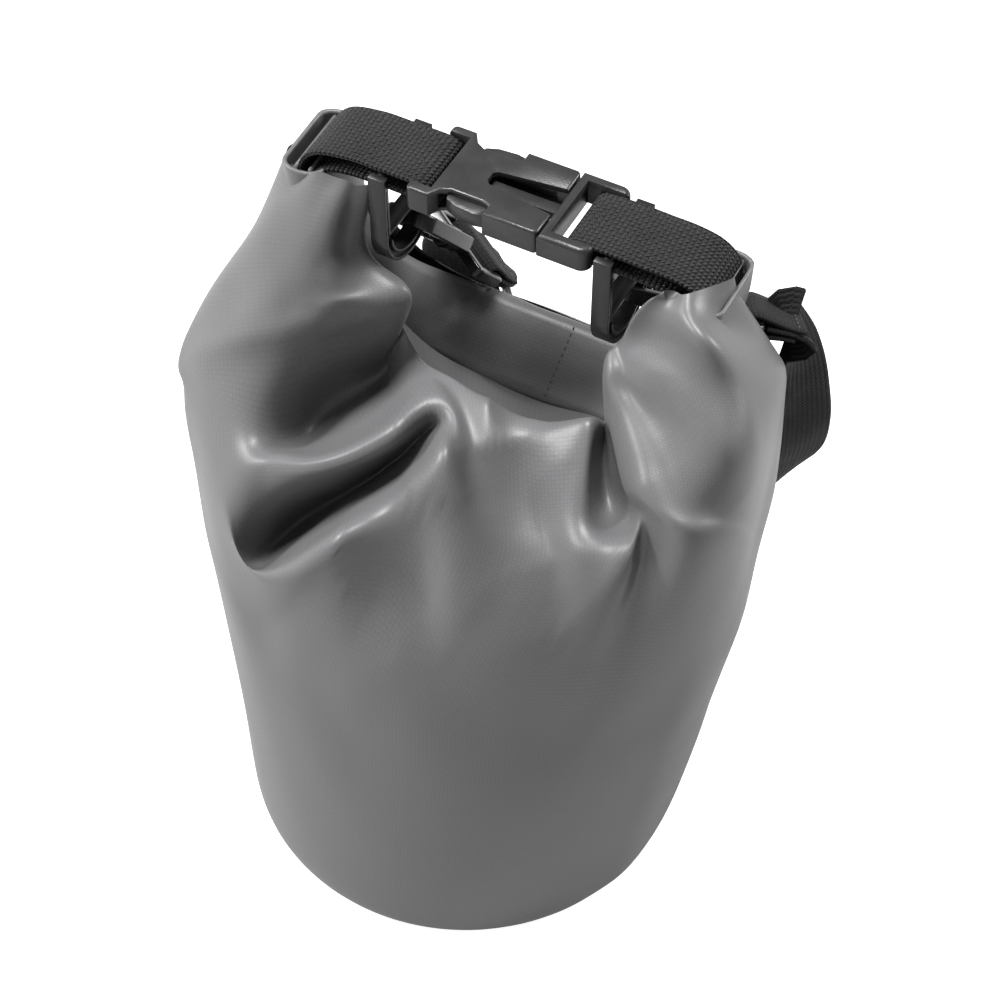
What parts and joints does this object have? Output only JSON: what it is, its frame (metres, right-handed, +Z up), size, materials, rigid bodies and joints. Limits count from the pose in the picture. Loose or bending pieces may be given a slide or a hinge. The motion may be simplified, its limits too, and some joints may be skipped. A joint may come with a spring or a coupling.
{
  "type": "roll-top dry bag",
  "caption": "Roll-top waterproof bag with a round base, rolled and buckled collar that forms a carry loop, and a hooked-on shoulder strap.",
  "frame": {"origin": "middle of the flat base, on the surface the bag stands on", "axes": "+Z up the bag, +X along the closed buckle from its socket half to its plug half, +Y towards the back of the bag where the shoulder strap hangs"},
  "size_m": [0.2249, 0.2059, 0.2998],
  "materials": {
    "coated_fabric": "satin PVC-coated polyester, mid grey, fine woven grain",
    "stiffener": "plain flexible strip sealed inside the roll",
    "closure_webbing": "coarse ribbed black polypropylene webbing",
    "strap_webbing": "fine ribbed black webbing",
    "buckle_plastic": "black moulded acetal, fine spark-eroded texture",
    "fitting_plastic": "black moulded plastic, satin",
    "hook_plastic": "black moulded plastic, polished by use",
    "pin_steel": "small plain steel pin"
  },
  "bodies": {
    "bag": {"body_tube": "coated_fabric", "base_disc": "coated_fabric", "rolled_collar": "coated_fabric", "collar_stiffener": "stiffener", "shoulder_left": "coated_fabric", "roll_end_left": "coated_fabric", "webbing_left": "closure_webbing", "buckle_socket": "buckle_plastic", "swivel_frame_left": "hook_plastic", "strap_loop_left": "strap_webbing", "shoulder_strap": "strap_webbing"},
    "plug": {"buckle_plug_base": "buckle_plastic", "webbing_right": "closure_webbing", "roll_end_right": "coated_fabric", "shoulder_right": "coated_fabric", "swivel_frame_right": "hook_plastic", "strap_loop_right": "strap_webbing"},
    "arm_front": {"buckle_arm_front": "buckle_plastic"},
    "arm_rear": {"buckle_arm_rear": "buckle_plastic"},
    "ring_left": {"d_ring_left": "fitting_plastic"},
    "ring_right": {"d_ring_right": "fitting_plastic"},
    "hook_left": {"hook_left": "hook_plastic", "gate_pin_left": "pin_steel"},
    "hook_right": {"hook_right": "hook_plastic", "gate_pin_right": "pin_steel"},
    "gate_left": {"gate_left": "hook_plastic"},
    "gate_right": {"gate_right": "hook_plastic"},
    "slider": {"strap_slider": "fitting_plastic"}
  },
  "joints": [
    {"name": "buckle_pull", "type": "slide", "parent": "bag", "child": "plug", "axis": [1, 0, 0], "range_m": [0, 0.036], "deforming": ["buckle_arm_front", "buckle_arm_rear", "shoulder_strap"]},
    {"name": "arm_front_press", "type": "hinge", "parent": "plug", "child": "arm_front", "pos_m": [0.02, 0.0125, 0.295], "axis": [0, 0, -1], "range_deg": [0, 6.5], "stiffness_Nm_per_rad": 0.05},
    {"name": "arm_rear_press", "type": "hinge", "parent": "plug", "child": "arm_rear", "pos_m": [0.02, 0.0315, 0.295], "axis": [0, 0, 1], "range_deg": [0, 6.5], "stiffness_Nm_per_rad": 0.05},
    {"name": "ring_left_swing", "type": "hinge", "parent": "bag", "child": "ring_left", "pos_m": [-0.033, 0.022, 0.295], "axis": [0, 1, 0], "range_deg": [-4, 4]},
    {"name": "ring_right_swing", "type": "hinge", "parent": "plug", "child": "ring_right", "pos_m": [0.0465, 0.022, 0.295], "axis": [0, -1, 0], "range_deg": [-0.5, 2]},
    {"name": "hook_left_swivel", "type": "hinge", "parent": "bag", "child": "hook_left", "pos_m": [-0.02816, 0.04332, 0.24211], "axis": [0.2199, 0.5962, -0.7721], "range_deg": [-10, 10]},
    {"name": "hook_right_swivel", "type": "hinge", "parent": "plug", "child": "hook_right", "pos_m": [0.06651, 0.04142, 0.25773], "axis": [0.9096, 0.3599, -0.2078], "range_deg": [-2, 6]},
    {"name": "gate_left_open", "type": "hinge", "parent": "hook_left", "child": "gate_left", "pos_m": [-0.03638, 0.04382, 0.24146], "axis": [0, 0.7915, 0.6112], "range_deg": [0, 20], "stiffness_Nm_per_rad": 0.002},
    {"name": "gate_right_open", "type": "hinge", "parent": "hook_right", "child": "gate_right", "pos_m": [0.06219, 0.04752, 0.25421], "axis": [0, 0.5, 0.866], "range_deg": [0, 20], "stiffness_Nm_per_rad": 0.002},
    {"name": "slider_slide", "type": "slide", "parent": "bag", "child": "slider", "axis": [-0.0979, -0.1795, 0.9789], "range_m": [-0.018, 0.018]}
  ]
}
